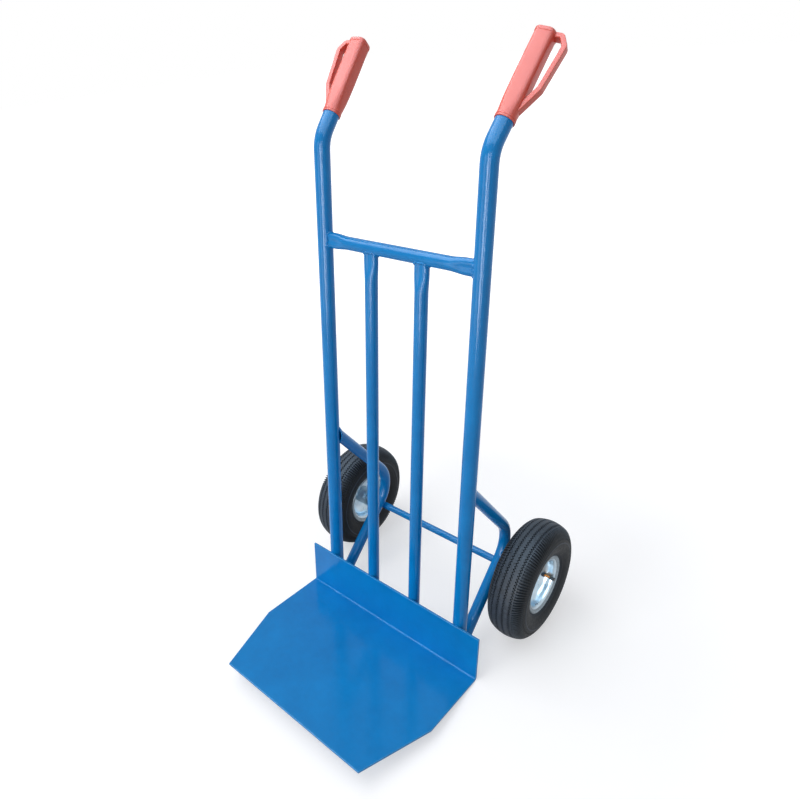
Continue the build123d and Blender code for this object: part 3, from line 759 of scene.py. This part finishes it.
# Matt white paper: even and pale, with the faintest mottle, lifted to white where the camera sees it lit.
white_paper, surface = new_material("matt_white_paper")
place = add_node(white_paper, "ShaderNodeTexCoord").outputs["Object"]
mottle = add_node(white_paper, "ShaderNodeTexNoise", {"Vector": place, "Scale": 1 / (400 * mm)})
paper_colour = add_node(white_paper, "ShaderNodeMix", {
    0: mottle.outputs["Fac"], 6: linear("#C4C4C4"), 7: linear("#CACACA")}, data_type="RGBA")
paper = add_node(white_paper, "ShaderNodeBsdfDiffuse", {"Color": paper_colour.outputs[2]})
rays = add_node(white_paper, "ShaderNodeLightPath")
seen = add_node(white_paper, "ShaderNodeMath", {
    0: rays.outputs["Is Camera Ray"], 1: rays.outputs["Is Glossy Ray"]}, operation="MAXIMUM")
distance = add_node(white_paper, "ShaderNodeVectorMath", {0: place}, operation="LENGTH")
far_lift = add_node(white_paper, "ShaderNodeMapRange", {
    "Value": distance.outputs["Value"], "From Min": 0.6, "From Max": 2.4, "To Min": 0.5, "To Max": 1.0})
lift = add_node(white_paper, "ShaderNodeEmission", {
    "Color": linear("#FFFFFF"), "Strength": far_lift.outputs["Result"]})
lifted = add_node(white_paper, "ShaderNodeAddShader", {
    0: paper.outputs["BSDF"], 1: lift.outputs["Emission"]})
floor_mix = add_node(white_paper, "ShaderNodeMixShader", {
    "Fac": seen.outputs["Value"], 1: paper.outputs["BSDF"], 2: lifted.outputs["Shader"]})
white_paper.node_tree.links.new(floor_mix.outputs["Shader"], surface)
floor_mesh.materials.append(white_paper)

# Light: a white studio all round, a soft lamp overhead to the left and a wide one in front, like windows.
# A wide pale blue skylight and two narrow tall lamps behind the camera show in the gloss alone:
# they streak the tubes, and give the handles and grips a pale sheen.
studio = bpy.data.worlds.new("white_studio")
bpy.context.scene.world = studio
studio.use_nodes = True
studio.node_tree.nodes.clear()
rays = add_node(studio, "ShaderNodeLightPath")
seen = add_node(studio, "ShaderNodeMath", {
    0: rays.outputs["Is Camera Ray"], 1: rays.outputs["Is Glossy Ray"]}, operation="MAXIMUM")
seen_through = add_node(studio, "ShaderNodeMath", {
    0: seen.outputs["Value"], 1: rays.outputs["Is Transmission Ray"]}, operation="MAXIMUM")
ambient = add_node(studio, "ShaderNodeBackground", {"Color": linear("#F2F6FF"), "Strength": 0.58})
backdrop = add_node(studio, "ShaderNodeBackground", {"Color": linear("#FFFFFF"), "Strength": 1.0})
studio_mix = add_node(studio, "ShaderNodeMixShader", {
    "Fac": seen_through.outputs["Value"], 1: ambient.outputs["Background"],
    2: backdrop.outputs["Background"]})
add_node(studio, "ShaderNodeOutputWorld", {"Surface": studio_mix.outputs["Shader"]})

for name, spot, aim, width, height, watts in (
    ("sky_lamp", (-1.2, -0.6, 3.6), (-0.2, 0, 0.4), 4.2, 2.4, 66),
    ("skylight", (0.3, -0.4, 3.6), (0.3, -0.4, 0), 7.0, 3.6, 520),
    ("wide_window", (-0.93, -2.7, 1.2), (0, 0.15, 1.2), 1.4, 2.2, 32),
    ("front_window", (0.93, -2.7, 1.2), (0, 0.15, 1.2), 0.8, 2.2, 115),
    ("middle_window", (1.93, -2.15, 1.2), (0, 0.15, 1.2), 0.35, 2.2, 45),
):
    lamp = bpy.data.lights.new(name, "AREA")
    lamp.shape = "RECTANGLE"
    lamp.size = width
    lamp.size_y = height
    lamp.energy = watts
    lamp.color = linear("#D3EEFF" if name == "skylight" else "#FFFFFF")[:3]
    lamp_object = bpy.data.objects.new(name, lamp)
    lamp_object.location = spot
    lamp_object.rotation_euler = (Vector(aim) - Vector(spot)).to_track_quat("-Z", "Y").to_euler()
    lamp_object.visible_diffuse = name in ("sky_lamp", "wide_window")
    bpy.context.scene.collection.objects.link(lamp_object)

# Camera: held at head height close in front of the truck, to its right, looking down and tilted a little.
# The picture is a square of 800 pixels, and the lens is given in its pixels.
camera_spot = Vector((708.4, -692.9, 1202.8)) * mm
camera_azimuth = math.radians(41.934)
camera_drop = math.radians(30.416)
camera_roll = math.radians(-5.243)
picture_size = 800
focal_pixels = 638.97
picture_centre = (399.4, 384.0)
ahead = Vector((-math.sin(camera_azimuth) * math.cos(camera_drop),
                math.cos(camera_azimuth) * math.cos(camera_drop), -math.sin(camera_drop)))
level = ahead.cross(Vector((0, 0, 1))).normalized()
above = level.cross(ahead)
rightwards = level * math.cos(camera_roll) + above * math.sin(camera_roll)
upwards = rightwards.cross(ahead)
camera = bpy.data.cameras.new("camera")
camera.sensor_width = 36
camera.lens = focal_pixels / picture_size * camera.sensor_width
camera.shift_x = (picture_size / 2 - picture_centre[0]) / picture_size
camera.shift_y = (picture_centre[1] - picture_size / 2) / picture_size
camera_object = bpy.data.objects.new("camera", camera)
camera_turn = Matrix((rightwards, upwards, -ahead)).transposed().to_4x4()
camera_object.matrix_world = Matrix.Translation(camera_spot) @ camera_turn
bpy.context.scene.collection.objects.link(camera_object)
bpy.context.scene.camera = camera_object
bpy.context.scene.view_settings.view_transform = "Standard"
